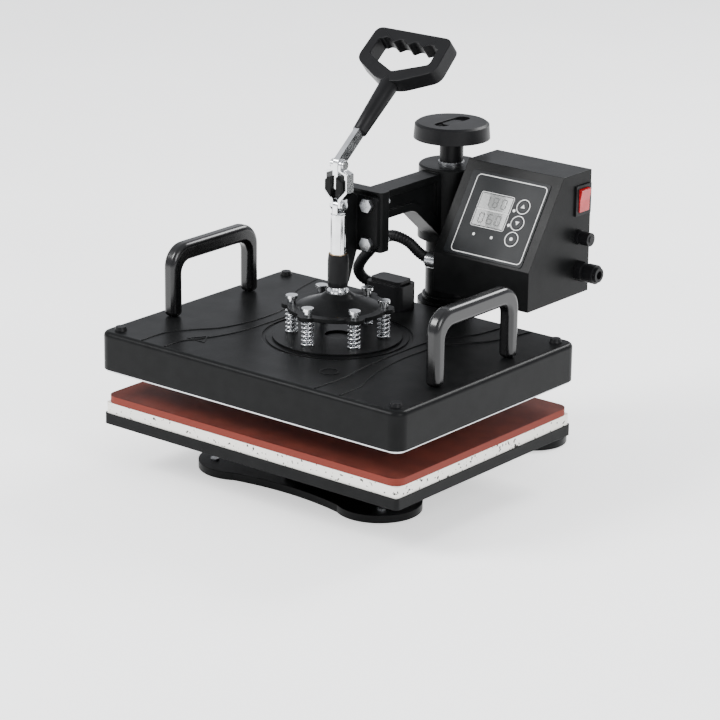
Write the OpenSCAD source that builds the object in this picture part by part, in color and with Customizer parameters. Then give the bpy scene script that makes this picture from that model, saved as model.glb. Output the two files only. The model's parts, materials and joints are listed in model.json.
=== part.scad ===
/* [Pressing area] */
// Width of the silicone pad, left to right
pad_w = 380; // [370:1:384]
// Depth of the silicone pad, front to back
pad_d = 280; // [272:1:284]
// Open gap between the pad and the heating platen
open_gap = 27; // [26:0.5:28]
// Width of the pressed cover
cover_w = 388; // [380:1:392]
// Depth of the pressed cover
cover_d = 290; // [286:1:294]
// Height of the pressed cover
cover_h = 39.7; // [38:0.1:44]

/* [Base] */
// Height of the top of the silicone pad above the table
pad_top_z = 81.2; // [80:0.1:83]
// Half length of the front foot
front_foot_x = 135; // [128:1:142]
// Half length of the rear foot
rear_foot_x = 126; // [120:1:135]
// Radius of the column
column_r = 25; // [24.5:0.5:25.5]
// Distance from the press shaft to the column axis
throat = 184; // [180:1:190]

/* [Toggle] */
// Radius of the press shaft
shaft_r = 8; // [7.5:0.5:8]
// Distance from the lever's fixed pivot to the link pin
crank = 23; // [22:0.5:24]
// Length of the side links between their pins
link_len = 42; // [41:0.5:44]
// Angle of the lever behind the vertical when the press is open
lever_lean = 49.5; // [45:0.5:52]

/* [Control box] */
// Width of the control box
box_w = 119.5; // [110:0.5:122]
// Height of the control box
box_h = 128.2; // [124:0.1:132]

/* [Knob] */
// Radius of the pressure knob at its lower rim
knob_r = 40; // [34:0.5:42]
// Height of the knob's rim
knob_h = 16.5; // [12:0.5:18]

/* [Hidden] */
$fn = 48;
fit = 0.05;        // running clearance on a radius
air = 0.3;         // gap between pieces that move past each other

// Places: x is across, y is from front to back, z is up from the table
head_y = -55;
column_y = head_y + throat;
front_foot_y = head_y - 44;
rear_foot_y = head_y + 218;

// Levels above the table
foot_t = 9;
pad_t = 7.5;
board_bottom_z = 54;
tray_bottom_z = 51;
tray_h = 11.6;
tray_w = pad_w + 2;
tray_d = pad_d + 4;
bracket_t = 5;
socket_z = 142;
socket_step_z = 148;
socket_top_z = 154;
socket_r = 33;
column_z = 112;
column_top_z = 275;
platen_z = pad_top_z + open_gap;
platen_t = 12;
cover_z = platen_z + 2.3;
cover_top_z = cover_z + cover_h;
cover_wall = 1.8;
disc_top_z = cover_top_z + 2;

// Toggle and spring plate
pivot_z = 306;
shaft_pin_z = pivot_z + crank - link_len;
link_pin_z = pivot_z + crank;
pin_r = 3;
tongue_t = 6;
lever_t = 6;
lever_bar_w = 12;
link_t = 3;
link_w = 11;
link_in_x = tongue_t / 2 + air;
fork_x = 10.6;
link_out_x = fork_x + 0.9;
stem_start = 41;
stem_end = 103;
plate_z = 179;
plate_t = 4;
bolt_circle_r = 47;
bolt_r = 3;
bolt_top_z = 191;

// Arm
boss_r = 34;
boss_z = 216;
boss_top_z = 294.5;
bush_r = column_r + 2;
arm_top_z = 291;
flange_top_z = 298;
arm_t = 24;
flange_x = 30;
flange_y = head_y + 30;
flange_t = 15;
flange_z = 236;
arch_z = 262;
bracket_bolt_x = 17.5;
bracket_bolt_z = [245, 285];
guide_z = 203;
guide_h = 34;

// Control box
box_x = 38;
box_z = 181.5;
box_top_z = box_z + box_h;
box_front_y = head_y + 107.5;
box_ridge_y = head_y + 164;
box_back_y = head_y + 212;
box_knee_z = 222.8;
box_wall = 1.5;
panel_tilt = atan2(box_top_z - box_knee_z, box_ridge_y - box_front_y);
display_u = 51.8;
display_s = [63.3, 45.2];
display_size = [38.5, 16.5];
button_u = 85.8;
button_s = [65.3, 47.5, 30];
button_r = 6.4;
lamp_spots = [[76.5, 59.5], [76.5, 43.5], [39.7, 27], [61.9, 27]];
lamp_r = 1.6;
rocker_y = head_y + 197;
rocker_z = 281;
fuse_y = head_y + 193;
fuse_z = 242;
gland_y = head_y + 195;
gland_z = 206;
fitting_y = head_y + 115;
fitting_z = 210;

// Cover fittings
handle_x = 170;
handle_half = 59;
handle_t = 16;
handle_leg = 15;
handle_open_z = cover_top_z + 57;
handle_top_z = 226;
corner_x = cover_w / 2 - 16;
corner_y = cover_d / 2 - 16;
junction_x = [-46, 0];
junction_y = head_y + 115;
junction_d = 30;
junction_h = 31;

// Conduit from the control box to the cover, whole and in its open position
conduit_r = 6;
conduit_route = [[34, 60, 210], [29, 60, 210], [24, 60, 211], [17, 55, 217], [9, 49, 227],
    [-2, 45, 232], [-14, 45, 231], [-28, 45, 222], [-41, 45, 209], [-51, 45, 197], [-57, 48, 186],
    [-57, 55, 176], [-51, 60, 171], [-45, 60, 171], [-39, 60, 171]];

// Shared shapes

module rounded(w, d, r) {
    square([w - 2 * r, d], center = true);
    square([w, d - 2 * r], center = true);
    for (sx = [-1, 1], sy = [-1, 1])
        translate([sx * (w / 2 - r), sy * (d / 2 - r)]) circle(r);
}

// A slab with upright rounded corners and a rounded top edge
module soft_slab(w, d, h, corner, edge) {
    linear_extrude(h - edge) rounded(w, d, corner);
    linear_extrude(h) rounded(w - 2 * edge, d - 2 * edge, corner - edge);
    for (s = [-1, 1]) {
        translate([s * (w / 2 - edge), 0, h - edge])
            rotate([90, 0, 0]) cylinder(r = edge, h = d - 2 * corner, center = true);
        translate([0, s * (d / 2 - edge), h - edge])
            rotate([0, 90, 0]) cylinder(r = edge, h = w - 2 * corner, center = true);
    }
    for (sx = [-1, 1], sy = [-1, 1])
        translate([sx * (w / 2 - corner), sy * (d / 2 - corner), h - edge])
            rotate_extrude() translate([corner - edge, 0]) circle(edge);
}

module tube(outer, inner, h) {
    difference() {
        cylinder(r = outer, h = h);
        translate([0, 0, -1]) cylinder(r = inner, h = h + 2);
    }
}

// Flat bar with round ends between two points
module bar(p, q, w) {
    run = q - p;
    translate(p) circle(w / 2);
    translate(q) circle(w / 2);
    translate(p) rotate(atan2(run.y, run.x)) translate([0, -w / 2]) square([norm(run), w]);
}

// Extrude an outline of y and z across the machine, centred on x = 0
module across(t) {
    translate([-t / 2, 0, 0]) rotate([90, 0, 90]) linear_extrude(t) children();
}

// Cylinder that lies along x, from x = a to x = b
module axle(r, a, b) {
    translate([a, 0, 0]) rotate([0, 90, 0]) cylinder(r = r, h = b - a);
}

// Closed tube along a list of points: one ring of corners for each point
function tangent(p, i) = let (n = len(p) - 1, v = p[min(i + 1, n)] - p[max(i - 1, 0)]) v / norm(v);
function ring(p, i, r, sides) = let (
        t = tangent(p, i),
        side = cross(t, [0.1, 1, 0.2]),
        a = side / norm(side),
        b = cross(t, a))
    [for (k = [0 : sides - 1]) p[i] + r * (cos(360 * k / sides) * a + sin(360 * k / sides) * b)];
module swept_tube(p, r, sides) {
    last = len(p) - 1;
    corners = [for (i = [0 : last]) each ring(p, i, r, sides)];
    walls = [for (i = [0 : last - 1], k = [0 : sides - 1], half = [0, 1])
        let (n = (k + 1) % sides, a = i * sides + k, c = (i + 1) * sides + n)
        half == 0 ? [a, i * sides + n, c] : [a, c, (i + 1) * sides + k]];
    start = [for (k = [0 : sides - 1]) sides - 1 - k];
    end = [for (k = [0 : sides - 1]) last * sides + k];
    polyhedron(corners, concat([start], walls, [end]));
}

// Smooth curve through a list of points
function curve_point(p, i, t) = let (
        n = len(p) - 1,
        a = p[max(i - 1, 0)], b = p[i], c = p[i + 1], d = p[min(i + 2, n)])
    0.5 * (2 * b + (c - a) * t + (2 * a - 5 * b + 4 * c - d) * t * t
        + (3 * b - a - 3 * c + d) * t * t * t);
function smooth(p, steps) = concat(
    [for (i = [0 : len(p) - 2], k = [0 : steps - 1]) curve_point(p, i, k / steps)],
    [p[len(p) - 1]]);

// Outline of a foot: a round lobe at each end and a narrower waist between them
module foot_outline(length, lobe, waist) {
    end = length - lobe;
    for (s = [-1, 1]) translate([s * end, 0]) circle(lobe);
    polygon([for (i = [0 : 24]) let (t = i / 12 - 1) [end * t, -waist - (lobe - waist) * t * t * 0.97],
        for (i = [24 : -1 : 0]) let (t = i / 12 - 1) [end * t, waist + (lobe - waist) * t * t * 0.97]]);
}

// Base

module foot_pads_at() {
    for (sx = [-1, 1]) {
        translate([sx * 110, front_foot_y - 19, 0]) children();
        translate([sx * 100, rear_foot_y + 14, 0]) children();
    }
}

module foot(y, length, lobe, waist) {
    translate([0, y, 1]) linear_extrude(foot_t - 1) foot_outline(length, lobe, waist);
}

// Spine from foot to foot, the boss under the tray and the upright that holds the column
module base_casting() color("#232527") difference() {
    union() {
        foot(front_foot_y, front_foot_x, 44, 30);
        foot(rear_foot_y, rear_foot_x, 37, 26);
        across(50) polygon([[front_foot_y - 8, 2], [rear_foot_y + 16, 2], [rear_foot_y + 16, 14],
            [column_y + 34, 30], [front_foot_y + 20, 30], [front_foot_y - 8, 14]]);
        translate([0, head_y, 6]) cylinder(r1 = 48, r2 = 40, h = tray_bottom_z - bracket_t - 6);
        translate([0, column_y, 8]) cylinder(r1 = 36, r2 = 27.5, h = 42);
        translate([0, column_y, 49]) cylinder(r = 27.4, h = socket_z - 48);
        translate([0, column_y, socket_z]) cylinder(r = socket_r, h = socket_step_z - socket_z);
        translate([0, column_y, socket_z + 1]) cylinder(r = 28, h = socket_top_z - socket_z - 1);
    }
    translate([0, column_y, column_z]) cylinder(r = column_r, h = 60);
    foot_pads_at() translate([0, 0, -1]) cylinder(r = 14, h = 5);
    foot_pads_at() cylinder(r = 2.5, h = 30);
    translate([0, head_y, 0]) for (sx = [-1, 1], sy = [-1, 1])
        translate([sx * 24, sy * 20, 22]) cylinder(r = 4, h = 40);
}

module rubber_feet() color("#111111") foot_pads_at() difference() {
    cylinder(r = 13.8, h = 4);
    translate([0, 0, -1]) cylinder(r = 2.5, h = 6);
}

module foot_screws() color("#c9ccce") foot_pads_at() {
    translate([0, 0, 1]) cylinder(r = 2.5, h = foot_t - 1);
    translate([0, 0, foot_t]) cylinder(r = 4.5, h = 1.6);
}

module column() color("#1d1f21") translate([0, column_y, column_z])
    tube(column_r, 20, column_top_z - column_z);

module column_nut() color("#8d9194") translate([0, column_y, column_top_z - 24])
    tube(20, shaft_r + fit, 22);

module tray_bracket() color("#2a2c2e") translate([0, head_y, tray_bottom_z - bracket_t])
    difference() {
        linear_extrude(bracket_t) rounded(120, 90, 8);
        for (sx = [-1, 1], sy = [-1, 1])
            translate([sx * 24, sy * 20, -1]) cylinder(r = 4, h = bracket_t + 2);
    }

module tray_bolts() color("#c9ccce") translate([0, head_y, 0])
    for (sx = [-1, 1], sy = [-1, 1]) translate([sx * 24, sy * 20, 0]) {
        translate([0, 0, 24]) cylinder(r = 4, h = board_bottom_z - 24 - 1.4);
        translate([0, 0, board_bottom_z - 2]) cylinder(r = 6.5, h = 1.6);
    }

module tray() color("#1e2022") translate([0, head_y, tray_bottom_z]) difference() {
    linear_extrude(tray_h) rounded(tray_w, tray_d, 4);
    translate([0, 0, board_bottom_z - tray_bottom_z])
        linear_extrude(tray_h) rounded(tray_w - 2, tray_d - 2, 3);
    for (sx = [-1, 1], sy = [-1, 1]) translate([sx * 24, sy * 20, -1]) {
        cylinder(r = 4, h = tray_h);
        translate([0, 0, 2]) cylinder(r = 6.6, h = tray_h);
    }
}

module insulation_board() color("#eceae4") translate([0, head_y, board_bottom_z])
    linear_extrude(pad_top_z - pad_t - board_bottom_z) rounded(pad_w - 0.4, pad_d + 1, 4);

module silicone_pad() color("#7d3527") translate([0, head_y, pad_top_z - pad_t])
    linear_extrude(pad_t) rounded(pad_w, pad_d, 12);

// Pressure knob

module thrust_washer() color("#d5d8da") translate([0, column_y, boss_top_z + fit])
    tube(13.5, shaft_r, 2.4);

module pressure_knob() color("#1b1c1e") {
    neck_z = boss_top_z + 2.5;
    rim_z = 322;
    translate([0, column_y, 0]) difference() {
        union() {
            translate([0, 0, neck_z]) cylinder(r = 12.4, h = rim_z - neck_z + 2);
            translate([0, 0, rim_z]) cylinder(r1 = knob_r, r2 = knob_r - 1.2, h = knob_h - 2);
            translate([0, 0, rim_z + knob_h - 2])
                cylinder(r1 = knob_r - 1.2, r2 = knob_r - 4, h = 2);
        }
        translate([0, 0, neck_z - 1]) cylinder(r = shaft_r, h = 24);
        translate([0, 0, rim_z + knob_h - 3]) linear_extrude(10) bar([0, -18], [0, 18], 15);
    }
}

module knob_insert() color("#2c2d2f") translate([0, column_y, 322 + knob_h - 3])
    linear_extrude(2) bar([0, -6], [0, 6], 12.5);

module knob_spindle() color("#b9bcbf") translate([0, column_y, 232])
    cylinder(r = shaft_r, h = boss_top_z + 25.5 - 232);

// Swing arm

// The arm seen from the side: flange at the front, arch under the beam, boss at the back
function arm_side() = let (
        arch = [for (a = [0 : 9 : 45]) [head_y + 98 + 25 * sin(a), arch_z - 25 * (1 - cos(a))]],
        corner = [for (a = [0 : 15 : 90]) [flange_y + 27 - 12 * sin(a), arch_z - 12 + 12 * cos(a)]])
    concat([[flange_y + 2, arm_top_z], [column_y, arm_top_z], [column_y, boss_z + 8],
        [column_y - 32, boss_z + 8]], [for (i = [len(arch) - 1 : -1 : 0]) arch[i]], corner,
        [[flange_y + 15, flange_z], [flange_y + 2, flange_z]]);

module arm_recess() polygon([[head_y + 54, 284], [head_y + 146, 284], [head_y + 146, 246],
    [head_y + 124, 262], [head_y + 104, 270], [head_y + 54, 270]]);

module arm_casting() color("#212326") difference() {
    union() {
        across(arm_t) polygon(arm_side());
        translate([0, flange_y + flange_t / 2, flange_z])
            linear_extrude(flange_top_z - flange_z) rounded(2 * flange_x, flange_t, 3);
        translate([0, column_y, boss_z]) cylinder(r = boss_r, h = boss_top_z - boss_z - 1.5);
        translate([0, column_y, boss_top_z - 1.5]) cylinder(r1 = boss_r, r2 = boss_r - 1.5, h = 1.5);
        translate([0, column_y - 18, 236]) cube([box_x, 36, 44]);
    }
    for (s = [-1, 1]) translate([s * (arm_t / 2), 0, 0]) across(7) arm_recess();
    translate([0, column_y, boss_z - 1]) cylinder(r = bush_r + fit, h = 73);
    translate([0, column_y, boss_z]) cylinder(r = shaft_r + air, h = 100);
    for (sx = [-1, 1], z = bracket_bolt_z)
        translate([sx * bracket_bolt_x, flange_y - 1, z])
            rotate([-90, 0, 0]) cylinder(r = 4, h = flange_t + 2);
    for (sx = [-1, 1], z = bracket_bolt_z)
        translate([sx * bracket_bolt_x, flange_y + flange_t, z])
            rotate([-90, 0, 0]) cylinder(r = 8, h = 14);
}

module boss_bushes() color("#a98545") for (z = [boss_z, 250])
    translate([0, column_y, z]) tube(bush_r, column_r + fit, 22);

// Toggle bracket: bolted plate, upright web, fork for the lever and housing of the shaft guide

module bracket_plate() {
    low = 236;
    translate([0, flange_y, 0]) rotate([90, 0, 0]) linear_extrude(5)
        polygon([[-29, 243], [-20, low], [20, low], [29, 243], [29, 291], [27, 294], [-27, 294],
            [-29, 291]]);
}

module fork() {
    shape = [[3.6, 296.5], [fork_x, 303.5], [fork_x, 314], [3.6, 318]];
    difference() {
        translate([0, head_y + 9, 0]) rotate([90, 0, 0]) linear_extrude(18)
            polygon(concat(shape, [for (i = [3 : -1 : 0]) [-shape[i].x, shape[i].y]]));
        translate([-lever_t / 2 - air, head_y - 20, 280])
            cube([lever_t + 2 * air, 20 + 6.6, 60]);
        translate([0, head_y, pivot_z]) axle(3.5, -20, 20);
    }
}

module toggle_bracket() color("#191a1c") {
    difference() {
        union() {
            bracket_plate();
            across(6) polygon([[head_y + shaft_r + 0.6, guide_z + 4], [head_y + 14, guide_z + 2],
                [flange_y - 4, 236], [flange_y - 2, 292], [head_y + 19, 296], [head_y + 19, 312],
                [head_y + 8.8, 316], [head_y + 8.8, 296], [head_y + shaft_r + 0.6, 294]]);
            translate([0, head_y, guide_z + 3]) cylinder(r = 9.6, h = guide_h - 6);
        }
        translate([0, head_y, guide_z]) cylinder(r = 9.2, h = guide_h);
        translate([0, head_y, guide_z + guide_h - 3]) cylinder(r = shaft_r + 0.5, h = 90);
        for (sx = [-1, 1], z = bracket_bolt_z) translate([sx * bracket_bolt_x, flange_y - 9, z])
            rotate([-90, 0, 0]) cylinder(r = 4, h = 20);
    }
    fork();
}

module bracket_bolts() color("#c9ccce") for (sx = [-1, 1], z = bracket_bolt_z)
    translate([sx * bracket_bolt_x, flange_y - 5, z]) rotate([-90, 0, 0]) {
        translate([0, 0, -5.3]) cylinder(r = 7.5, h = 5.3, $fn = 6);
        cylinder(r = 4, h = flange_t + 13);
        translate([0, 0, flange_t + 5]) cylinder(r = 7.5, h = 6.4, $fn = 6);
    }

module guide_sleeve() color("#151516") difference() {
    translate([0, head_y, guide_z]) {
        cylinder(r1 = 9.9, r2 = 10.6, h = 5);
        translate([0, 0, 5]) cylinder(r = 10.6, h = guide_h - 12);
        translate([0, 0, guide_h - 7]) cylinder(r1 = 10.6, r2 = 9.8, h = 7);
    }
    translate([0, head_y, guide_z + 3]) cylinder(r = 9.6, h = guide_h - 6);
    translate([0, head_y, guide_z - 1]) cylinder(r = 9.2, h = guide_h + 2);
    across(6) translate([head_y + 7, guide_z - 1]) square([10, guide_h + 2]);
}

module guide_bush() color("#a98545") translate([0, head_y, guide_z])
    tube(9.2, shaft_r + fit, guide_h);

module pivot_pin() color("#c9ccce") translate([0, head_y, pivot_z]) axle(3.5, -fork_x, fork_x);

// Lever and links

function stem_dir() = [sin(lever_lean), cos(lever_lean)];
function stem_at(s) = [head_y, link_pin_z] + s * stem_dir();

module lever_bar() color("#d5d8da") across(lever_t) difference() {
    union() {
        bar([head_y, pivot_z], [head_y, link_pin_z + 2], lever_bar_w);
        bar([head_y, link_pin_z + 2], stem_at(stem_start + 24), lever_bar_w);
    }
    translate([head_y, pivot_z]) circle(3.5 + fit);
    translate([head_y, link_pin_z]) circle(pin_r);
}

// Local frame of the stem: x across the machine, y up the stem, z out of the grip's front face
module on_stem(s) {
    p = stem_at(s);
    translate([0, p.x, p.y]) rotate([90 - lever_lean, 0, 0]) children();
}

module grip_outline() {
    low = [0, 4];
    shoulder = [44.5, 24];
    top = [43, 56];
    for (s = [-1, 1]) {
        bar([s * low.x, low.y], [s * shoulder.x, shoulder.y], 12);
        bar([s * shoulder.x, shoulder.y], [s * top.x, top.y], 12);
    }
    bar([-top.x, top.y], top, 12);
    difference() {
        translate([-top.x, 45]) square([2 * top.x, 8]);
        for (x = [-33, -11, 11, 33]) translate([x, 41]) circle(11.6);
    }
}

module lever_grip() color("#1b1c1e") difference() {
    union() {
        on_stem(stem_start) rotate([-90, 0, 0]) cylinder(r1 = 7.6, r2 = 10, h = 62);
        on_stem(stem_end) translate([0, 0, -9]) linear_extrude(18) grip_outline();
    }
    across(lever_t) bar([head_y, link_pin_z + 2], stem_at(stem_start + 24), lever_bar_w);
}

module link_pin() color("#e2e4e6") translate([0, head_y, link_pin_z]) {
    axle(pin_r, -8.2, 8.2);
    for (s = [-1, 1]) translate([s * 7.5, 0, 0]) axle(4.6, -0.8, 0.8);
}

// A side link seen from the front: it steps out round the fork and back in at both pins
module link_front() {
    a = link_in_x;
    b = link_out_x;
    t = link_t;
    low = shaft_pin_z;
    high = link_pin_z;
    polygon([[a, low - 7], [a + t, low - 7], [a + t, low + 6], [b + t, low + 15], [b + t, high - 8],
        [a + t, high - 5.2], [a + t, high + 7], [a, high + 7], [a, high - 5.5], [b, high - 9],
        [b, low + 16], [a, low + 7]]);
}

module side_links() color("#d5d8da") for (side = [0, 1]) mirror([side, 0, 0]) difference() {
    intersection() {
        translate([0, head_y + 20, 0]) rotate([90, 0, 0]) linear_extrude(40) link_front();
        translate([25, 0, 0]) across(50)
            bar([head_y, shaft_pin_z], [head_y, link_pin_z], link_w);
    }
    translate([0, head_y, link_pin_z]) axle(pin_r + fit, 0, 20);
    translate([0, head_y, shaft_pin_z]) axle(pin_r, 0, 20);
}

module link_rivets() color("#e2e4e6") for (side = [0, 1]) mirror([side, 0, 0])
    translate([0, head_y, shaft_pin_z]) {
        axle(pin_r, link_in_x, link_in_x + link_t);
        axle(4.6, link_in_x + link_t, link_in_x + link_t + 1.6);
    }

// Press shaft and spring plate

module press_shaft() color("#e2e4e6") difference() {
    union() {
        translate([0, head_y, 184]) cylinder(r = shaft_r, h = shaft_pin_z - 9 - 184);
        intersection() {
            translate([0, head_y, 184]) cylinder(r = shaft_r, h = 120);
            across(tongue_t) {
                translate([head_y, shaft_pin_z]) circle(6);
                translate([head_y - 6, shaft_pin_z - 10]) square([12, 10]);
            }
        }
    }
    translate([0, head_y, shaft_pin_z]) axle(pin_r, -10, 10);
}

module shaft_pin() color("#b9bcbf") translate([0, head_y, shaft_pin_z])
    axle(pin_r, -tongue_t / 2, tongue_t / 2);

module shaft_collar() color("#e2e4e6") translate([0, head_y, plate_z + 18]) tube(11, shaft_r, 2.4);

module bolts_at() {
    for (a = [30 : 60 : 330]) translate([bolt_circle_r * cos(a), head_y + bolt_circle_r * sin(a), 0])
        children();
}

module spider_plate() color("#202224") difference() {
    union() {
        translate([0, head_y, plate_z]) cylinder(r = 51, h = plate_t);
        bolts_at() translate([0, 0, plate_z]) cylinder(r = 10.5, h = plate_t);
        translate([0, head_y, plate_z]) rotate_extrude()
            polygon([[0, 2], [42, 2], [42, plate_t], [30, 8.5], [18, 13.5], [12.5, 18], [0, 18]]);
    }
    translate([0, head_y, plate_z]) rotate_extrude() polygon([[9, -1], [38, -1], [28, 4.5], [9, 9]]);
    translate([0, head_y, 184]) cylinder(r = shaft_r, h = 40);
    bolts_at() translate([0, 0, plate_z - 1]) cylinder(r = bolt_r + air, h = plate_t + 2);
}

// Heated head

module spring_bolts() color("#e2e4e6") bolts_at() {
    translate([0, 0, platen_z + 4]) cylinder(r = bolt_r, h = bolt_top_z - platen_z - 5);
    translate([0, 0, plate_z + plate_t + 0.2]) cylinder(r = 4.2, h = 6.4);
    translate([0, 0, bolt_top_z - 3]) cylinder(r = 6.2, h = 3);
}

// One coil spring: closed turns at both ends
function spring_points(h, r, turns, steps) = [for (i = [0 : turns * steps])
    let (t = i / (turns * steps), a = 360 * i / steps) [r * cos(a), r * sin(a), h * t]];

module pressure_springs() color("#d5d8da") bolts_at()
    translate([0, 0, disc_top_z + 0.95])
        swept_tube(spring_points(plate_z - disc_top_z - 1.9, 5.8, 5, 10), 0.9, 5);

module top_cover() color("#26282a") difference() {
    translate([0, head_y, cover_z]) soft_slab(cover_w, cover_d, cover_h, 13, 5);
    translate([0, head_y, cover_z - 1]) linear_extrude(cover_h - cover_wall + 1)
        rounded(cover_w - 2 * cover_wall, cover_d - 2 * cover_wall, 11);
    translate([0, head_y, cover_top_z - 1.2]) tube(76.5, 72.5, 5);
    bolts_at() cylinder(r = bolt_r, h = 160);
    translate([0, head_y, 0]) for (sx = [-1, 1], sy = [-1, 1]) {
        translate([sx * corner_x, sy * corner_y, 140]) cylinder(r = 2.5, h = 20);
        translate([sx * handle_x, sy * handle_half, 140]) cylinder(r = 3, h = 20);
    }
    translate([junction_x[0] + 24, junction_y, 140]) cylinder(r = 6, h = 20);
}

module clamp_disc() color("#202224") difference() {
    translate([0, head_y, cover_top_z]) tube(66, 13, disc_top_z - cover_top_z);
    bolts_at() translate([0, 0, cover_top_z - 1]) cylinder(r = bolt_r, h = 6);
}

module cover_screws() color("#151516") translate([0, head_y, 0])
    for (sx = [-1, 1], sy = [-1, 1]) translate([sx * corner_x, sy * corner_y, 0]) {
        translate([0, 0, platen_z + 4]) cylinder(r = 2.5, h = cover_top_z - platen_z - 4);
        translate([0, 0, cover_top_z]) cylinder(r1 = 6.5, r2 = 5.2, h = 4);
    }

// Carrying handle seen from its side: two legs and a deep bar with rounded corners
module handle_outline() {
    outer = handle_half + handle_leg / 2;
    inner = handle_half - handle_leg / 2;
    r_out = 24;
    r_in = 12;
    difference() {
        union() {
            translate([-outer, cover_top_z]) square([2 * outer, handle_top_z - r_out - cover_top_z]);
            translate([r_out - outer, cover_top_z])
                square([2 * (outer - r_out), handle_top_z - cover_top_z]);
            for (s = [-1, 1]) translate([s * (outer - r_out), handle_top_z - r_out]) circle(r_out);
        }
        translate([-inner, cover_top_z - 1]) square([2 * inner, handle_open_z - r_in + 1 - cover_top_z]);
        translate([r_in - inner, cover_top_z - 1])
            square([2 * (inner - r_in), handle_open_z + 1 - cover_top_z]);
        for (s = [-1, 1]) translate([s * (inner - r_in), handle_open_z - r_in]) circle(r_in);
    }
}

module placed_handle(side) {
    difference() {
        translate([side * handle_x, head_y, 0]) across(handle_t) handle_outline();
        for (s = [-1, 1]) translate([side * handle_x, head_y + s * handle_half, cover_top_z - 1])
            cylinder(r = 3, h = 19);
    }
}

module left_handle() color("#101011") placed_handle(-1);

module right_handle() color("#101011") placed_handle(1);

module handle_screws() color("#8d9194") translate([0, head_y, 0])
    for (sx = [-1, 1], sy = [-1, 1]) translate([sx * handle_x, sy * handle_half, 0]) {
        translate([0, 0, cover_top_z - cover_wall]) cylinder(r = 3, h = 18);
        translate([0, 0, cover_top_z - cover_wall - 1.4]) cylinder(r = 6, h = 1.4);
    }

module insulation_mat() color("#d8d2bd") difference() {
    translate([0, head_y, 129]) linear_extrude(16) rounded(336, 238, 8);
    bolts_at() translate([0, 0, 120]) cylinder(r = bolt_r, h = 40);
}

// Tubular heater: four runs joined by three bends, lying on the platen
module heating_element() color("#6d6a66") {
    r = 4;
    runs = [-95, -35, 35, 95];
    half = 138;
    translate([0, head_y, platen_z + platen_t + r + 0.05]) {
        for (y = runs) translate([0, y, 0]) rotate([0, 90, 0])
            cylinder(r = r, h = 2 * half, center = true);
        for (i = [0 : 2]) {
            side = i % 2 == 0 ? 1 : -1;
            translate([side * half, (runs[i] + runs[i + 1]) / 2, 0]) rotate([0, 0, side * 90 - 180])
                rotate_extrude(angle = 180) translate([(runs[i + 1] - runs[i]) / 2, 0]) circle(r);
        }
    }
}

module heating_platen() color("#c3c6c8") difference() {
    translate([0, head_y, platen_z])
        linear_extrude(platen_t) rounded(cover_w - 2 * cover_wall - 1, cover_d - 2 * cover_wall - 1, 10);
    bolts_at() translate([0, 0, platen_z + 4]) cylinder(r = bolt_r, h = 20);
    translate([0, head_y, platen_z + 4]) for (sx = [-1, 1], sy = [-1, 1])
        translate([sx * corner_x, sy * corner_y, 0]) cylinder(r = 2.5, h = 20);
}

module junction_box() color("#1c1d1f") {
    w = junction_x[1] - junction_x[0];
    translate([junction_x[0] + w / 2, junction_y, cover_top_z]) difference() {
        union() {
            linear_extrude(junction_h - 4) rounded(w, junction_d, 7);
            linear_extrude(junction_h) rounded(w - 7, junction_d - 7, 5);
        }
        translate([0, 0, -1]) linear_extrude(junction_h - 3) rounded(w - 12, junction_d - 12, 3);
        translate([-w / 2 - 1, 0, 171 - cover_top_z]) axle(conduit_r + 1.2, 0, 12);
    }
}

module conduit() color("#141415") swept_tube(smooth(conduit_route, 3), conduit_r, 12);

// Control box

module on_panel() {
    translate([box_x, box_front_y, box_knee_z]) rotate([panel_tilt, 0, 0]) children();
}

module box_side(t) {
    slope = t * tan((180 - panel_tilt) / 2 - 45) ;
    polygon([[box_front_y + t, box_z + t], [box_front_y + t, box_knee_z - slope * 0.5],
        [box_ridge_y + t * 0.55, box_top_z - t], [box_back_y - t, box_top_z - t],
        [box_back_y - t, box_z + t]]);
}

module box_shell() color("#25272a") difference() {
    translate([box_x + box_w / 2, 0, 0]) across(box_w) box_side(0);
    translate([box_x + box_w / 2, 0, 0]) across(box_w - 2 * box_wall) box_side(box_wall);
    translate([box_x + box_wall, box_back_y - box_wall, box_z + box_wall])
        cube([box_w - 2 * box_wall, 10, box_h - 2 * box_wall]);
    on_panel() {
        for (s = display_s) translate([display_u, s, -5])
            linear_extrude(10) square(display_size, center = true);
        for (s = button_s) translate([button_u, s, -5]) cylinder(r = button_r + 0.6, h = 10);
        for (p = lamp_spots) translate([p.x, p.y, -5]) cylinder(r = lamp_r, h = 10);
    }
    translate([box_x + box_w - 5, rocker_y - 10.5, rocker_z - 14]) cube([10, 21, 28]);
    translate([box_x + box_w - 5, fuse_y, fuse_z]) axle(5.5, 0, 10);
    translate([box_x + box_w - 5, gland_y, gland_z]) axle(6.5, 0, 10);
    translate([box_x - 5, fitting_y, fitting_z]) axle(5, 0, 10);
}

module box_rear_cover() color("#232527") difference() {
    translate([box_x + box_wall, box_back_y - box_wall, box_z + box_wall])
        cube([box_w - 2 * box_wall, box_wall, box_h - 2 * box_wall]);
    for (x = [12, box_w - 12], z = [12, box_h - 12])
        translate([box_x + x, box_back_y - 5, box_z + z]) rotate([-90, 0, 0]) cylinder(r = 1.8, h = 10);
}

module box_screws() color("#b9bcbf") for (x = [12, box_w - 12], z = [12, box_h - 12])
    translate([box_x + x, box_back_y, box_z + z]) rotate([-90, 0, 0]) {
        translate([0, 0, -7]) cylinder(r = 1.8, h = 7);
        cylinder(r = 3.4, h = 1.6);
    }

module panel_overlay() color("#3a3f46") on_panel() difference() {
    translate([box_w / 2, 48.2, 0]) linear_extrude(0.8) rounded(98, 91, 3);
    for (s = display_s) translate([display_u, s, -1])
        linear_extrude(4) square(display_size, center = true);
    for (s = button_s) translate([button_u, s, -1]) cylinder(r = button_r + 0.6, h = 4);
    for (p = lamp_spots) translate([p.x, p.y, -1]) cylinder(r = lamp_r, h = 4);
}

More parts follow.
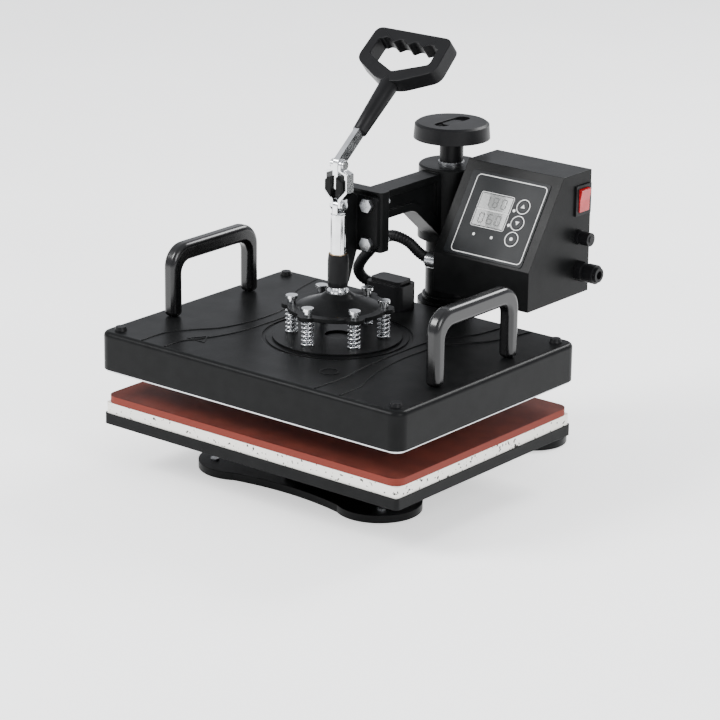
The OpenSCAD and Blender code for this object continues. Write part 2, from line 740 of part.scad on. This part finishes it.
module display_windows() color("#9fa3a0") on_panel() for (s = display_s)
    translate([display_u, s, -2.6]) linear_extrude(3.6) square(display_size, center = true);

module indicator_lenses() color("#e6e6e6") on_panel() for (p = lamp_spots)
    translate([p.x, p.y, -3]) cylinder(r = lamp_r, h = 4);

module circuit_board() color("#2c6a45") on_panel() translate([box_w / 2, 46, -9.6])
    linear_extrude(1.6) rounded(92, 78, 2);

module transformer() color("#6b4a2c") translate([box_x + 30, box_front_y + 40, box_z + box_wall])
    cube([46, 38, 40]);

module rocker_frame() color("#121213") translate([box_x + box_w, rocker_y, rocker_z]) difference() {
    union() {
        translate([0, -13, -15.5]) cube([2, 26, 31]);
        translate([-16, -10.5, -14]) cube([16, 21, 28]);
    }
    translate([-14, -8.5, -12.5]) cube([20, 17, 25]);
}

module rocker_button() color("#b3202a") translate([box_x + box_w, rocker_y, rocker_z])
    rotate([90, 0, 0]) {
        translate([0, 0, -8.2]) linear_extrude(16.4) polygon([[-6, -3], [0.5, -11.8], [3.2, -11.9],
            [3.4, 0], [5.6, 11.2], [0.5, 11.8], [-6, 3]]);
        cylinder(r = 1.6, h = 16.8, center = true);
    }

module fuse_holder() color("#151516") translate([box_x + box_w, fuse_y, fuse_z]) {
    difference() {
        union() {
            axle(7.8, 0, 3.5);
            axle(5.5, -22, 0);
        }
        axle(4.5, -20, 6);
    }
}

module fuse_cap() color("#1b1c1e") translate([box_x + box_w, fuse_y, fuse_z]) {
    axle(7, 3.5 + air, 15);
    axle(4.2, -14, 5);
    translate([15, 0, 0]) axle(3.2, -1, 0.8);
}

module cable_gland() color("#101011") translate([box_x + box_w, gland_y, gland_z]) difference() {
    union() {
        axle(6.5, -9, 0);
        translate([4, 0, 0]) rotate([0, 90, 0]) cylinder(r = 11, h = 8, center = true, $fn = 6);
        axle(9.4, 7, 12);
        axle(10, 12, 22);
        axle(7.6, 20, 25.5);
    }
    axle(4.4, -12, 30);
}

module conduit_fitting() color("#c9ccce") translate([box_x, fitting_y, fitting_z]) difference() {
    union() {
        axle(8.2, -12, 0);
        axle(5, -1, 8);
        axle(5.9, box_wall, box_wall + 3);
    }
    axle(conduit_r + 0.6, -13, -2.5);
    axle(3.4, -4, 10);
}

module push_button(s) {
    on_panel() translate([button_u, s, -4]) cylinder(r = button_r, h = 5.6);
}

module up_button() color("#d8d8d6") push_button(button_s[0]);

module down_button() color("#d8d8d6") push_button(button_s[1]);

module set_button() color("#d8d8d6") push_button(button_s[2]);

base_casting();
rubber_feet();
foot_screws();
column();
column_nut();
tray_bracket();
tray_bolts();
tray();
insulation_board();
silicone_pad();
thrust_washer();
pressure_knob();
knob_insert();
knob_spindle();
arm_casting();
boss_bushes();
toggle_bracket();
bracket_bolts();
guide_sleeve();
guide_bush();
pivot_pin();
box_shell();
box_rear_cover();
box_screws();
panel_overlay();
display_windows();
indicator_lenses();
circuit_board();
transformer();
rocker_frame();
fuse_holder();
cable_gland();
conduit_fitting();
lever_bar();
lever_grip();
link_pin();
side_links();
link_rivets();
press_shaft();
shaft_pin();
shaft_collar();
spider_plate();
spring_bolts();
pressure_springs();
top_cover();
clamp_disc();
cover_screws();
left_handle();
right_handle();
handle_screws();
insulation_mat();
heating_element();
heating_platen();
junction_box();
conduit();
rocker_button();
up_button();
down_button();
set_button();
fuse_cap();
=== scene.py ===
import json
import math
import bpy
import bmesh
from mathutils import Matrix, Vector


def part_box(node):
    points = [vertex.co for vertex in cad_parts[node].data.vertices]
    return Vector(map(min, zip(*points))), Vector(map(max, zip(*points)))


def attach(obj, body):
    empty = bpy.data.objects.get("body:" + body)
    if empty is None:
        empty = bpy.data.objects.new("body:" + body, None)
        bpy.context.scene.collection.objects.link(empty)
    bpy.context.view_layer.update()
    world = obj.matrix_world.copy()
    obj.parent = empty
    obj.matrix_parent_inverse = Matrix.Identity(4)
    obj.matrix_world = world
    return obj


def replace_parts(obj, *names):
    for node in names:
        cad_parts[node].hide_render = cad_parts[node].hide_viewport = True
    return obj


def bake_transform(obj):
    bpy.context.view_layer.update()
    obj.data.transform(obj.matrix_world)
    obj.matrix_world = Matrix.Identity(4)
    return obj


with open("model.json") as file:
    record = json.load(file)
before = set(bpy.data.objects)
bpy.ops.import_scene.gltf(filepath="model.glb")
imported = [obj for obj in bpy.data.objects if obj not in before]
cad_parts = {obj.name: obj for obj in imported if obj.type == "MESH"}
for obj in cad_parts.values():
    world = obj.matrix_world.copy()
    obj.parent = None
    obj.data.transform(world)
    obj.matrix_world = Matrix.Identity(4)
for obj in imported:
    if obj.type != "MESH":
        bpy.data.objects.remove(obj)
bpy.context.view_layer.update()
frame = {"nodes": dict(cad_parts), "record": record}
NODES = frame["nodes"]
MM = 0.001
HEAD_Y = -0.055


# Camera

def make_camera(azimuth, elevation, roll, place, lens):
    az, el, ro = map(math.radians, (azimuth, elevation, roll))
    back = Vector((math.sin(az) * math.cos(el), -math.cos(az) * math.cos(el), math.sin(el)))
    right = Vector((math.cos(az), math.sin(az), 0))
    up = back.cross(right)
    x = right * math.cos(ro) + up * math.sin(ro)
    y = up * math.cos(ro) - right * math.sin(ro)
    data = bpy.data.cameras.new("camera")
    data.lens, data.sensor_width = lens, 36
    data.clip_start, data.clip_end = 0.1, 50
    cam = bpy.data.objects.new("camera", data)
    bpy.context.scene.collection.objects.link(cam)
    cam.matrix_world = Matrix.Translation(place) @ Matrix((x, y, back)).transposed().to_4x4()
    bpy.context.scene.camera = cam


make_camera(38.90, 18.46, 0.66, (1.8263, -2.2817, 1.0862), 150)


# Materials

class Shader:
    """A principled material with short ways to add noise, bump and colour detail."""

    def __init__(self, name, color, rough, metal=0.0, **sockets):
        self.mat = bpy.data.materials.new(name)
        self.mat.use_nodes = True
        self.tree = self.mat.node_tree
        self.bsdf = self.tree.nodes["Principled BSDF"]
        self.color = color
        self.set("Base Color", (*color, 1))
        self.set("Roughness", rough)
        self.set("Metallic", metal)
        for key, value in sockets.items():
            self.set(key.replace("_", " "), value)
        self.coords = self.node("ShaderNodeTexCoord").outputs["Object"]
        self.normal = None

    def set(self, socket, value):
        self.bsdf.inputs[socket].default_value = value

    def node(self, kind, **inputs):
        n = self.tree.nodes.new(kind)
        for key, value in inputs.items():
            n.inputs[key.replace("_", " ")].default_value = value
        return n

    def link(self, a, b):
        self.tree.links.new(a, b)

    def noise(self, scale, detail=4.0, stretch=(1, 1, 1)):
        m = self.node("ShaderNodeMapping", Scale=stretch)
        self.link(self.coords, m.inputs["Vector"])
        n = self.node("ShaderNodeTexNoise", Scale=scale, Detail=detail)
        self.link(m.outputs["Vector"], n.inputs["Vector"])
        return n.outputs["Fac"]

    def ramp(self, fac, a, b, low=0.35, high=0.65):
        r = self.node("ShaderNodeValToRGB")
        r.color_ramp.elements[0].position, r.color_ramp.elements[1].position = low, high
        r.color_ramp.elements[0].color, r.color_ramp.elements[1].color = (*a, 1), (*b, 1)
        self.link(fac, r.inputs["Fac"])
        return r.outputs["Color"]

    def mottle(self, scale, amount, **kw):
        a = [c * (1 - amount) for c in self.color]
        b = [min(1, c * (1 + amount)) for c in self.color]
        self.paint(self.ramp(self.noise(scale, **kw), a, b))
        return self

    def paint(self, color):
        self.link(color, self.bsdf.inputs["Base Color"])

    def gloss(self, scale, low, high, **kw):
        m = self.node("ShaderNodeMapRange", To_Min=low, To_Max=high)
        self.link(self.noise(scale, **kw), m.inputs["Value"])
        self.link(m.outputs["Result"], self.bsdf.inputs["Roughness"])
        return self

    def bump(self, height, strength, distance):
        b = self.node("ShaderNodeBump", Strength=strength, Distance=distance)
        self.link(height, b.inputs["Height"])
        if self.normal is not None:
            self.link(self.normal, b.inputs["Normal"])
        self.normal = b.outputs["Normal"]
        self.link(self.normal, self.bsdf.inputs["Normal"])
        return self

    def soft_edges(self, radius):
        b = self.node("ShaderNodeBevel", Radius=radius)
        self.normal = b.outputs["Normal"]
        self.link(self.normal, self.bsdf.inputs["Normal"])
        return self

    def grain(self, scale, strength, distance=0.0002, **kw):
        return self.bump(self.noise(scale, **kw), strength, distance)


def coated(name, color, rough, edge=0.0009):
    s = Shader(name, color, rough, Specular_IOR_Level=0.08)
    s.soft_edges(edge).grain(650, 0.35).mottle(60, 0.18)
    return s.gloss(35, rough - 0.06, rough + 0.08).mat


def metal(name, color, rough, stretch=(1, 1, 1), scale=500, edge=0.0004):
    s = Shader(name, color, rough, 1.0)
    s.soft_edges(edge).grain(scale, 0.12, 0.0001, stretch=stretch)
    s.mottle(90, 0.08)
    return s.gloss(scale, max(0.03, rough - 0.06), rough + 0.08, stretch=stretch).mat


def plastic(name, color, rough, grain=0.2, edge=0.0006, **sockets):
    s = Shader(name, color, rough, **sockets)
    s.soft_edges(edge).grain(900, grain, 0.00015).mottle(80, 0.12)
    return s.gloss(50, rough - 0.04, rough + 0.06).mat


def board_material():
    s = Shader("board", (0.8, 0.78, 0.72), 0.85)
    specks = s.noise(260, detail=2.0)
    s.paint(s.ramp(specks, (0.02, 0.018, 0.016), s.color, 0.335, 0.36))
    return s.grain(300, 0.4, 0.0004).mat


# Painted shade and painted light: the colour follows which way each face points, darker on top and lighter
# and redder on the cut edge
def silicone_material():
    s = Shader("silicone", (0.085, 0.014, 0.008), 0.65, Specular_IOR_Level=0.25)
    geometry = s.node("ShaderNodeNewGeometry")
    split = s.node("ShaderNodeSeparateXYZ")
    s.link(geometry.outputs["Normal"], split.inputs["Vector"])
    # Painted light: faces that point sideways get a lighter, redder tone and faces that point up get a
    # darker one
    painted_light_by_facing = s.ramp(split.outputs["Z"], (0.14, 0.02, 0.011), (0.085, 0.0145, 0.008), 0.4, 0.8)
    mottle = s.ramp(s.noise(45), (0.068, 0.012, 0.0068), (0.1, 0.0175, 0.0095))
    mix = s.node("ShaderNodeMixRGB")
    # Mixed by which way the face points: the painted side light falls on the cut edges, and the random
    # mottle falls on the top
    s.link(split.outputs["Z"], mix.inputs["Fac"])
    s.link(painted_light_by_facing, mix.inputs["Color1"])
    s.link(mottle, mix.inputs["Color2"])
    s.paint(mix.outputs["Color"])
    return s.grain(1100, 0.3, 0.0002).mat


def woven(name, color):
    s = Shader(name, color, 0.9)
    w = s.node("ShaderNodeTexWave", Scale=180, Distortion=1.5)
    s.link(s.coords, w.inputs["Vector"])
    return s.mottle(200, 0.2).bump(w.outputs["Fac"], 0.5, 0.0005).mat


MATS = {
    "casting": coated("casting", (0.0045, 0.0047, 0.0048), 0.33),
    "rubber": plastic("rubber", (0.006, 0.006, 0.006), 0.8, 0.4, Specular_IOR_Level=0.2),
    "bright_steel": metal("bright_steel", (0.56, 0.57, 0.58), 0.28),
    "chrome": metal("chrome", (0.74, 0.75, 0.76), 0.12, (1, 1, 14), 120),
    "board": board_material(),
    "silicone": silicone_material(),
    "bronze": metal("bronze", (0.45, 0.29, 0.12), 0.4),
    "moulded_black": plastic("moulded_black", (0.005, 0.005, 0.0055), 0.4, 0.3, Specular_IOR_Level=0.15),
    "gloss_black": plastic("gloss_black", (0.003, 0.003, 0.0032), 0.2, 0.04, Specular_IOR_Level=0.45),
    "platen_metal": metal("platen_metal", (0.62, 0.63, 0.64), 0.3, (1, 1, 20), 160),
    "element": metal("element", (0.2, 0.18, 0.17), 0.5),
    "mat": woven("mat", (0.66, 0.62, 0.5)),
    "panel": plastic("panel", (0.006, 0.007, 0.008), 0.38, 0.1, Specular_IOR_Level=0.12),
    "window": plastic("window", (0.12, 0.125, 0.12), 0.25, 0.03, Coat_Weight=0.3),
    "lens": plastic("lens", (0.6, 0.6, 0.58), 0.15, 0.03),
    "circuit": plastic("circuit", (0.02, 0.15, 0.06), 0.4),
    "winding": plastic("winding", (0.2, 0.09, 0.04), 0.35),
    "red": plastic("red", (0.5, 0.012, 0.018), 0.16, 0.03, Transmission_Weight=0.25),
    "key_cap": plastic("key_cap", (0.008, 0.009, 0.0105), 0.4, Specular_IOR_Level=0.15),
    "print": plastic("print", (0.72, 0.72, 0.7), 0.5, 0.1, 0.0001),
    "digit": plastic("digit", (0.03, 0.032, 0.03), 0.4, 0.05, 0.0001),
}

for part in frame["record"]["subparts"]:
    obj = NODES[part["node"]]
    if not obj.material_slots:
        obj.data.materials.append(None)
    for s in obj.material_slots:
        s.material = MATS[part["material_slot"]]


# Mesh helpers

def piece(name, verts, faces, material, body, smooth=True, bevel=0.0, segments=3):
    mesh = bpy.data.meshes.new(name)
    mesh.from_pydata([tuple(v) for v in verts], [], faces)
    bm = bmesh.new()
    bm.from_mesh(mesh)
    bmesh.ops.recalc_face_normals(bm, faces=bm.faces)
    bm.to_mesh(mesh)
    bm.free()
    mesh.materials.append(MATS[material])
    obj = bpy.data.objects.new(name, mesh)
    bpy.context.scene.collection.objects.link(obj)
    if smooth:
        mesh.shade_smooth()
    if bevel:
        m = obj.modifiers.new("bevel", "BEVEL")
        m.width, m.segments, m.limit_method = bevel, segments, "ANGLE"
        m.angle_limit = math.radians(50)
        m.harden_normals = True
    if body:
        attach(obj, body)
    return obj


def curve(points, steps):
    p = [Vector(q) for q in points]
    out = []
    for i in range(len(p) - 1):
        a, b, c, d = p[max(i - 1, 0)], p[i], p[i + 1], p[min(i + 2, len(p) - 1)]
        for k in range(steps):
            t = k / steps
            out.append(0.5 * (2 * b + (c - a) * t + (2 * a - 5 * b + 4 * c - d) * t * t
                              + (3 * b - a - 3 * c + d) * t ** 3))
    return out + [p[-1]]


def sweep(points, radii, sides):
    verts, faces, last = [], [], len(points) - 1
    side = None
    for i, p in enumerate(points):
        t = (points[min(i + 1, last)] - points[max(i - 1, 0)]).normalized()
        side = t.cross(Vector((0.1, 1, 0.2))) if side is None else side - t * side.dot(t)
        side.normalize()
        other = t.cross(side)
        for k in range(sides):
            a = 2 * math.pi * k / sides
            verts.append(p + radii[i] * (math.cos(a) * side + math.sin(a) * other))
    for i in range(last):
        for k in range(sides):
            n = (k + 1) % sides
            faces.append((i * sides + k, i * sides + n, (i + 1) * sides + n, (i + 1) * sides + k))
    faces += [tuple(range(sides)), tuple(last * sides + k for k in range(sides))]
    return verts, faces


def extrude(outline, place, t):
    """A flat outline, made t thick about its own plane; place turns (u, v, w) into the frame."""
    n = len(outline)
    verts = [place(u, v, w) for w in (-t / 2, t / 2) for u, v in outline]
    faces = [tuple(range(n)), tuple(n + k for k in range(n))]
    faces += [(k, (k + 1) % n, n + (k + 1) % n, n + k) for k in range(n)]
    return verts, faces


def loop_plate(outer, inner, place, t):
    """A closed frame between two loops with the same number of points."""
    n = len(outer)
    verts = [place(u, v, w) for w in (-t / 2, t / 2) for loop in (outer, inner) for u, v in loop]
    faces = []
    for k in range(n):
        m = (k + 1) % n
        faces += [(k, m, n + m, n + k), (2 * n + k, 2 * n + m, 3 * n + m, 3 * n + k),
                  (k, m, 2 * n + m, 2 * n + k), (n + k, n + m, 3 * n + m, 3 * n + k)]
    return verts, faces


def arc(cx, cy, r, a0, a1, n):
    return [(cx + r * math.cos(math.radians(a0 + (a1 - a0) * i / n)),
             cy + r * math.sin(math.radians(a0 + (a1 - a0) * i / n))) for i in range(n + 1)]


def join(parts):
    verts, faces = [], []
    for v, f in parts:
        base = len(verts)
        verts += v
        faces += [tuple(base + i for i in q) for q in f]
    return verts, faces


# Carrying handles

def make_handle(name, x):
    low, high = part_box(name)
    y = (low[1] + high[1]) / 2
    half, bottom, top = (high[1] - low[1]) / 2, low[2], high[2]
    inner, open_top, r_out, r_in = half - 0.015, bottom + 0.057, 0.024, 0.012
    outline = [(-half, bottom)] + arc(r_out - half, top - r_out, r_out, 180, 90, 10)
    outline += arc(half - r_out, top - r_out, r_out, 90, 0, 10) + [(half, bottom), (inner, bottom)]
    outline += arc(inner - r_in, open_top - r_in, r_in, 0, 90, 8)
    outline += arc(r_in - inner, open_top - r_in, r_in, 90, 180, 8) + [(-inner, bottom)]
    verts, faces = extrude(outline, lambda u, v, w: (x + w, y + u, v), 0.016)
    obj = piece(name + "_moulding", verts, faces, "gloss_black", "head", True, 0.0055, 5)
    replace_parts(obj, name)


make_handle("left_handle", -0.17)
make_handle("right_handle", 0.17)


# Lever grip: a D-shaped frame with finger scallops on a tapering sleeve

LEAN = math.radians(49.5)
STEM = Vector((0, math.sin(LEAN), math.cos(LEAN)))
FACE = Vector((0, -math.cos(LEAN), math.sin(LEAN)))
LINK_PIN = Vector((0, HEAD_Y, 0.329))


def on_grip(u, v, w):
    return LINK_PIN + Vector((u, 0, 0)) + STEM * (0.103 + v) + FACE * w


def ray_loop(polygon, centre, n):
    """Points where rays from the centre leave a polygon."""
    out = []
    for k in range(n):
        a = 2 * math.pi * k / n
        dx, dy = math.cos(a), math.sin(a)
        best = 0
        for i in range(len(polygon)):
            following = polygon[(i + 1) % len(polygon)]
            x1, y1 = polygon[i][0] - centre[0], polygon[i][1] - centre[1]
            x2, y2 = following[0] - centre[0], following[1] - centre[1]
            ex, ey = x2 - x1, y2 - y1
            det = dx * ey - dy * ex
            if abs(det) < 1e-12:
                continue
            t, s = (x1 * ey - y1 * ex) / det, (x1 * dy - y1 * dx) / det
            if t > 0 and -1e-9 <= s <= 1 + 1e-9:
                best = max(best, t)
        out.append((centre[0] + best * dx, centre[1] + best * dy))
    return out


def rounded_loop(corners, r, n=6):
    """A polygon with each corner replaced by a short curve."""
    out = []
    for i, c in enumerate(corners):
        c = Vector(c)
        a = (Vector(corners[i - 1]) - c).normalized() * r
        b = (Vector(corners[(i + 1) % len(corners)]) - c).normalized() * r
        for k in range(n + 1):
            t = k / n
            out.append(tuple(c + a * (1 - t) ** 2 + b * t * t))
    return out


outer = rounded_loop([(0.012, -0.001), (0.0500, 0.019), (0.048, 0.0615), (-0.048, 0.0615),
                      (-0.0500, 0.019), (-0.012, -0.001)], 0.009)
HOLE_TOP, SCALLOP_DEPTH, SCALLOP_PITCH, SCALLOP_START = 50, 4.5, 19.0, 38
hole_side = rounded_loop([(0, 0.0115), (0.038, 0.0265), (0.0375, 0.049)], 0.004)[7:]
hole = list(hole_side)
hole += [(x * MM, (HOLE_TOP - SCALLOP_DEPTH
                   * abs(math.cos(math.pi * (x - SCALLOP_START) / SCALLOP_PITCH)) ** 3) * MM)
         for x in range(34, -35, -1)]
hole += [(-u, v) for u, v in reversed(hole_side)]
hole += [(-0.003, 0.0122), (0, 0.0112), (0.003, 0.0122)]
GRIP_MIDDLE, GRIP_RAYS, GRIP_THICK = (0, 0.033), 288, 0.0178
grip = loop_plate(ray_loop(outer, GRIP_MIDDLE, GRIP_RAYS), ray_loop(hole, GRIP_MIDDLE, GRIP_RAYS),
                  on_grip, GRIP_THICK)
grip_obj = piece("grip_frame", *grip, "moulded_black", "lever", True, 0.003, 3)
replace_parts(grip_obj, "lever_grip")
SLEEVE_START = 0.041
stations = [(0.0, 0.0068), (0.001, 0.0075), (0.02, 0.0082), (0.045, 0.0092),
            (0.062, 0.0098), (0.068, 0.0088)]
piece("grip_sleeve", *sweep([LINK_PIN + STEM * (SLEEVE_START + s) for s, r in stations],
                            [r for s, r in stations], 40), "moulded_black", "lever")


# Pressure springs

SPRING_CIRCLE, COIL_RADIUS, WIRE_RADIUS = 0.047, 0.0058, 0.0009
SPRING_LOW, SPRING_HIGH, TURNS, STEPS = 0.1531, 0.1781, 7, 28
CLOSED_END, OPEN_PART = 0.09, 0.82      # shares of the wire that lie flat, and that climb

springs = []
for degrees in range(30, 390, 60):
    cx = SPRING_CIRCLE * math.cos(math.radians(degrees))
    cy = HEAD_Y + SPRING_CIRCLE * math.sin(math.radians(degrees))
    points = []
    for i in range(int(TURNS * STEPS) + 1):
        climb = min(max((i / (TURNS * STEPS) - CLOSED_END) / OPEN_PART, 0), 1)
        b = 2 * math.pi * i / STEPS
        points.append(Vector((cx + COIL_RADIUS * math.cos(b), cy + COIL_RADIUS * math.sin(b),
                              SPRING_LOW + (SPRING_HIGH - SPRING_LOW) * climb)))
    springs.append(sweep(points, [WIRE_RADIUS] * len(points), 10))
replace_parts(piece("coil_springs", *join(springs), "chrome", "head"), "pressure_springs")


# Corrugated conduit, from the arm's control box to the head

ROUTE = [(34, 60, 210), (29, 60, 210), (24, 60, 211), (17, 55, 217), (9, 49, 227), (-2, 45, 232),
         (-14, 45, 231), (-28, 45, 222), (-41, 45, 209), (-51, 45, 197), (-57, 48, 186),
         (-57, 55, 176), (-51, 60, 171), (-45, 60, 171), (-39, 60, 171)]
path = curve([[c * MM for c in p] for p in ROUTE], 16)
along, lengths = 0.0, [0.0]
for a, b in zip(path, path[1:]):
    along += (b - a).length
    lengths.append(along)
CONDUIT_RADIUS, RIB_DEPTH, RIB_PITCH = 0.0056, 0.0004, 0.0028
ribs = [CONDUIT_RADIUS + RIB_DEPTH * math.cos(2 * math.pi * s / RIB_PITCH) for s in lengths]
conduit = piece("corrugated_conduit", *sweep(path, ribs, 24), "moulded_black", None)
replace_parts(conduit, "conduit")
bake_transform(conduit)


# Control panel print, digits and button marks

TILT = math.atan2(0.3097 - 0.2228, 0.164 - 0.1075)
PANEL = Vector((0.038, HEAD_Y + 0.1075, 0.2228))
UP = Vector((0, math.cos(TILT), math.sin(TILT)))
OUT = Vector((0, -math.sin(TILT), math.cos(TILT)))


def on_panel(u, v, w):
    return PANEL + Vector((u, 0, 0)) * MM + UP * v * MM + OUT * w * MM


def round_rect(cx, cy, w, h, r):
    w, h = w / 2 - r, h / 2 - r
    return (arc(cx + w, cy + h, r, 0, 90, 6) + arc(cx - w, cy + h, r, 90, 180, 6)
            + arc(cx - w, cy - h, r, 180, 270, 6) + arc(cx + w, cy - h, r, 270, 360, 6))


def flat(outline, z0, z1):
    return extrude(outline, lambda u, v, w: on_panel(u, v, (z0 + z1) / 2 + w), z1 - z0)


def frame_line(cx, cy, w, h, r, line, z0, z1):
    return loop_plate(round_rect(cx, cy, w, h, r), round_rect(cx, cy, w - 2 * line, h - 2 * line, r - line),
                      lambda u, v, t: on_panel(u, v, (z0 + z1) / 2 + t), z1 - z0)


BUTTON_X, WINDOW_X = 85.8, 51.8
marks = [frame_line(62.5, 47.9, 88, 85, 5, 0.9, 0.75, 0.9)]
marks += [frame_line(WINDOW_X, s, 41.5, 19.5, 2.5, 0.6, 0.75, 0.9) for s in (63.3, 45.2)]
piece("panel_lines", *join(marks), "print", "arm", False)

SEGMENTS = {"a": (0, 5, 1), "g": (0, 0, 1), "d": (0, -5, 1), "f": (-2.7, 2.5, 0), "b": (2.7, 2.5, 0),
            "e": (-2.7, -2.5, 0), "c": (2.7, -2.5, 0)}
LIT = {"0": "abcdef", "1": "bc", "6": "acdefg", "8": "abcdefg"}
bars = []
for text, s in (("180", 63.3), ("060", 45.2)):
    for i, digit in enumerate(text):
        for key in LIT[digit]:
            du, dv, wide = SEGMENTS[key]
            w, h = (4.4, 1.1) if wide else (1.1, 4.1)
            u, v = WINDOW_X + (i - 1) * 10.5 + du, s + dv
            bars.append(flat([(u - w / 2, v - h / 2), (u + w / 2, v - h / 2), (u + w / 2, v + h / 2),
                              (u - w / 2, v + h / 2)], 0.95, 1.1))
piece("display_digits", *join(bars), "digit", "arm", False)

for name, s, shape in (("up", 65.3, [(-2.4, -1.6), (2.4, -1.6), (0, 2.4)]),
                       ("down", 47.5, [(-2.4, 1.6), (0, -2.4), (2.4, 1.6)]),
                       ("set", 30, arc(0, 0, 1.9, 0, 330, 11))):
    piece(name + "_mark", *flat([(BUTTON_X + u, s + v) for u, v in shape], 1.5, 1.72), "print", name, False)
rings = [loop_plate(arc(BUTTON_X, s, 8.0, 0, 352.5, 47), arc(BUTTON_X, s, 7.1, 0, 352.5, 47),
                    lambda u, v, w: on_panel(u, v, 0.95 + w), 0.4) for s in (65.3, 47.5, 30)]
piece("button_rings", *join(rings), "print", "arm", False)


# Pressed lines and plain raised signs on the cover

COVER_TOP = 0.1502


def cover_line(points):
    path = curve([(x * MM, HEAD_Y + y * MM, COVER_TOP) for x, y in points], 12)
    return sweep(path, [0.0009] * len(path), 8)


LINES = ([(-139, -140), (-138, -108), (-124, -82), (-104, -52), (-96, 0), (-104, 50), (-130, 88),
          (-142, 138)],
         [(-108, -140), (-107, -116), (-96, -94), (-84, -56), (-81, 0), (-84, 54), (-104, 96),
          (-112, 138)],
         [(118, -140), (117, -108), (108, -82), (99, -50), (95, 0), (102, 50), (128, 88), (140, 138)],
         [(87, -140), (88, -116), (88, -92), (83, -58), (81, 0), (84, 54), (104, 96), (110, 138)])
piece("pressed_lines", *join([cover_line(p) for p in LINES]), "casting", "head")


def raised(outer, inner):
    return loop_plate(outer, inner,
                      lambda u, v, w: (u * MM, HEAD_Y + v * MM, COVER_TOP + 0.0002 + w), 0.0006)


def triangle(cx, cy, r, n=24):
    return [(cx + x, cy + y) for x, y in ray_loop(
        [(r * math.cos(math.radians(a)), r * math.sin(math.radians(a))) for a in (90, 210, 330)], (0, 0), n)]


piece("raised_signs", *join([raised(triangle(-98, -98, 13), triangle(-98, -98, 9.5)),
                             raised(arc(66, -92, 10, 0, 352, 44), arc(66, -92, 8, 0, 352, 44))]),
      "casting", "head", False)


# Stage and light

floor = bpy.data.meshes.new("floor")
floor.from_pydata([(-6, -6, 0), (6, -6, 0), (6, 6, 0), (-6, 6, 0)], [], [(0, 1, 2, 3)])
floor_shader = Shader("floor", (0.93, 0.93, 0.925), 0.7)
floor_shader.mottle(3, 0.02)
floor_shader.set("Emission Color", (1, 1, 1, 1))
floor_shader.set("Emission Strength", 0.9)
floor.materials.append(floor_shader.mat)
floor_obj = bpy.data.objects.new("floor", floor)
bpy.context.scene.collection.objects.link(floor_obj)

world = bpy.data.worlds.new("world")
world.use_nodes = True
world.node_tree.nodes["Background"].inputs["Color"].default_value = (0.93, 0.95, 1, 1)
world.node_tree.nodes["Background"].inputs["Strength"].default_value = 0.95
bpy.context.scene.world = world


def area_light(name, place, target, size, watts):
    data = bpy.data.lights.new(name, "AREA")
    data.size, data.energy = size, watts
    obj = bpy.data.objects.new(name, data)
    bpy.context.scene.collection.objects.link(obj)
    obj.location = place
    obj.rotation_euler = (Vector(target) - Vector(place)).to_track_quat("-Z", "Y").to_euler()


area_light("key", (-1.2, -1.8, 2.0), (0, 0, 0.15), 1.1, 95)
area_light("fill", (2.2, -0.8, 1.4), (0, 0, 0.2), 1.2, 40)
area_light("rim", (0.3, 2.0, 1.8), (0, 0, 0.2), 1.0, 55)
